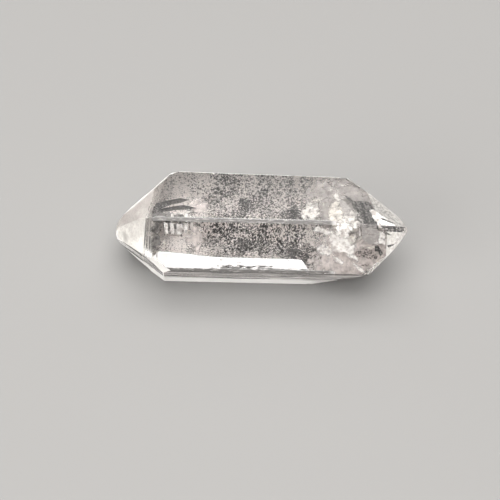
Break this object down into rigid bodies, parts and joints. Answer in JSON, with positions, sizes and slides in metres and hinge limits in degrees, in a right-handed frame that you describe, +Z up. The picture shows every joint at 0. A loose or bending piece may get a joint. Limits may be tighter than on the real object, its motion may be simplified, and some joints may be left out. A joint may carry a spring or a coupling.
{
  "type": "herkimer diamond",
  "caption": "Double-terminated clear quartz crystal: a six-sided prism with a worn point at each end, lying on one flat side, with ledges and etch pits.",
  "frame": {"origin": "centre of the bounding box at its base, on the flat prism face the crystal rests on", "axes": "+X along the crystal's long axis, from the blunt point to the sharper point; +Z up, square to the flat face it rests on; -Y towards the front"},
  "size_m": [0.0362, 0.0156, 0.0111],
  "materials": {
    "quartz": "natural crystal faces: clear and glossy on top, etched and frosted at the back and at the points, milky with healed cracks near the right point"
  },
  "bodies": {
    "root": {"crystal": "quartz"}
  },
  "joints": []
}
